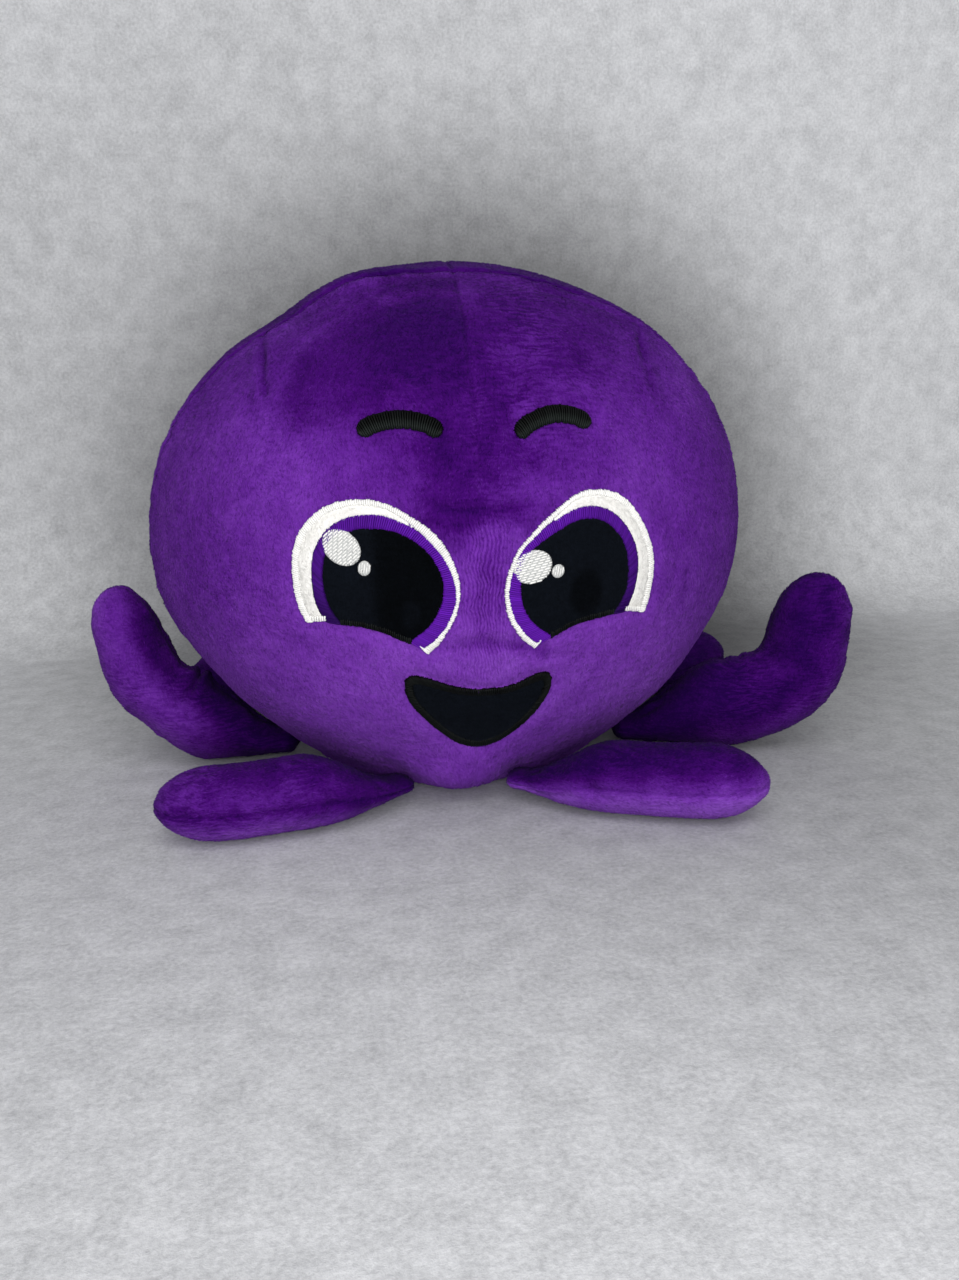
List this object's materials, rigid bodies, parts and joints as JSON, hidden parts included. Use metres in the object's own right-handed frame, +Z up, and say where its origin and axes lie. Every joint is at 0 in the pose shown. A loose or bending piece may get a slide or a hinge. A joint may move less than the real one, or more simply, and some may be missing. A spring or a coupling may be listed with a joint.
{
  "type": "plush octopus",
  "caption": "Stuffed plush octopus with a round head, an embroidered smiling face and short flexible arms, some lying flat and some bent upwards.",
  "frame": {"origin": "on the floor at the middle of the flat base under the head", "axes": "+X along the toy's width, towards the right of someone facing it; the face looks along -Y; +Z up"},
  "size_m": [0.3844, 0.3372, 0.2508],
  "materials": {
    "plush": "short-pile polyester plush",
    "stuffing": "loose polyester fibre",
    "cream_plush": "short-pile plush patch",
    "black_plush": "short-pile plush patch",
    "white_thread": "satin-stitched polyester thread",
    "purple_thread": "satin-stitched polyester thread",
    "black_thread": "satin-stitched polyester thread"
  },
  "bodies": {
    "head": {"face_left_panel": "plush", "face_right_panel": "plush", "back_right_panel": "plush", "back_left_panel": "plush", "base_panel": "plush", "head_stuffing": "stuffing", "eye_left_crescent_patch": "cream_plush", "eye_left_crescent_border": "white_thread", "eye_left_iris_ring": "purple_thread", "eye_left_pupil_patch": "black_plush", "eye_left_lid_stitching": "black_thread", "eye_left_large_highlight": "white_thread", "eye_left_small_highlight": "white_thread", "eye_right_crescent_patch": "cream_plush", "eye_right_crescent_border": "white_thread", "eye_right_iris_ring": "purple_thread", "eye_right_pupil_patch": "black_plush", "eye_right_lid_stitching": "black_thread", "eye_right_large_highlight": "white_thread", "eye_right_small_highlight": "white_thread", "eyebrow_left": "black_thread", "eyebrow_right": "black_thread", "mouth_patch": "black_plush", "mouth_border": "black_thread"},
    "arm_front_left": {"arm_front_left_upper_panel": "plush", "arm_front_left_lower_panel": "plush", "arm_front_left_stuffing": "stuffing"},
    "arm_front_right": {"arm_front_right_upper_panel": "plush", "arm_front_right_lower_panel": "plush", "arm_front_right_stuffing": "stuffing"},
    "arm_side_left": {"arm_side_left_front_panel": "plush", "arm_side_left_back_panel": "plush", "arm_side_left_stuffing": "stuffing"},
    "arm_side_right": {"arm_side_right_front_panel": "plush", "arm_side_right_back_panel": "plush", "arm_side_right_stuffing": "stuffing"},
    "arm_rear_left": {"arm_rear_left_upper_panel": "plush", "arm_rear_left_lower_panel": "plush", "arm_rear_left_stuffing": "stuffing"},
    "arm_rear_right": {"arm_rear_right_upper_panel": "plush", "arm_rear_right_lower_panel": "plush", "arm_rear_right_stuffing": "stuffing"},
    "arm_back_left": {"arm_back_left_upper_panel": "plush", "arm_back_left_lower_panel": "plush", "arm_back_left_stuffing": "stuffing"},
    "arm_back_right": {"arm_back_right_upper_panel": "plush", "arm_back_right_lower_panel": "plush", "arm_back_right_stuffing": "stuffing"}
  },
  "joints": [
    {"name": "arm_front_left_root_bend", "type": "hinge", "parent": "head", "child": "arm_front_left", "pos_m": [-0.03602, -0.07715, 0.0097], "axis": [-0.5878, 0.809, 0], "range_deg": [-35, 12], "stiffness_Nm_per_rad": 0.04},
    {"name": "arm_front_right_root_bend", "type": "hinge", "parent": "head", "child": "arm_front_right", "pos_m": [0.0223, -0.08133, 0.00969], "axis": [-0.6428, -0.766, 0], "range_deg": [-35, 12], "stiffness_Nm_per_rad": 0.04},
    {"name": "arm_side_left_root_bend", "type": "hinge", "parent": "head", "child": "arm_side_left", "pos_m": [-0.09218, -0.00146, 0.00968], "axis": [0.0349, 0.9994, 0], "range_deg": [-35, 6], "stiffness_Nm_per_rad": 0.04},
    {"name": "arm_side_right_root_bend", "type": "hinge", "parent": "head", "child": "arm_side_right", "pos_m": [0.09049, -0.01599, 0.00969], "axis": [-0.2419, -0.9703, 0], "range_deg": [-35, 10], "stiffness_Nm_per_rad": 0.04},
    {"name": "arm_rear_left_root_bend", "type": "hinge", "parent": "head", "child": "arm_rear_left", "pos_m": [-0.07056, 0.05382, 0.00978], "axis": [0.6157, 0.788, 0], "range_deg": [-35, 22], "stiffness_Nm_per_rad": 0.04},
    {"name": "arm_rear_right_root_bend", "type": "hinge", "parent": "head", "child": "arm_rear_right", "pos_m": [0.07814, 0.04438, 0.00975], "axis": [0.5, -0.866, 0], "range_deg": [-35, 22], "stiffness_Nm_per_rad": 0.04},
    {"name": "arm_back_left_root_bend", "type": "hinge", "parent": "head", "child": "arm_back_left", "pos_m": [-0.01913, 0.0818, 0.0099], "axis": [0.9703, 0.2419, 0], "range_deg": [-35, 22], "stiffness_Nm_per_rad": 0.04},
    {"name": "arm_back_right_root_bend", "type": "hinge", "parent": "head", "child": "arm_back_right", "pos_m": [0.03448, 0.07755, 0.00988], "axis": [0.9397, -0.342, 0], "range_deg": [-35, 22], "stiffness_Nm_per_rad": 0.04}
  ]
}
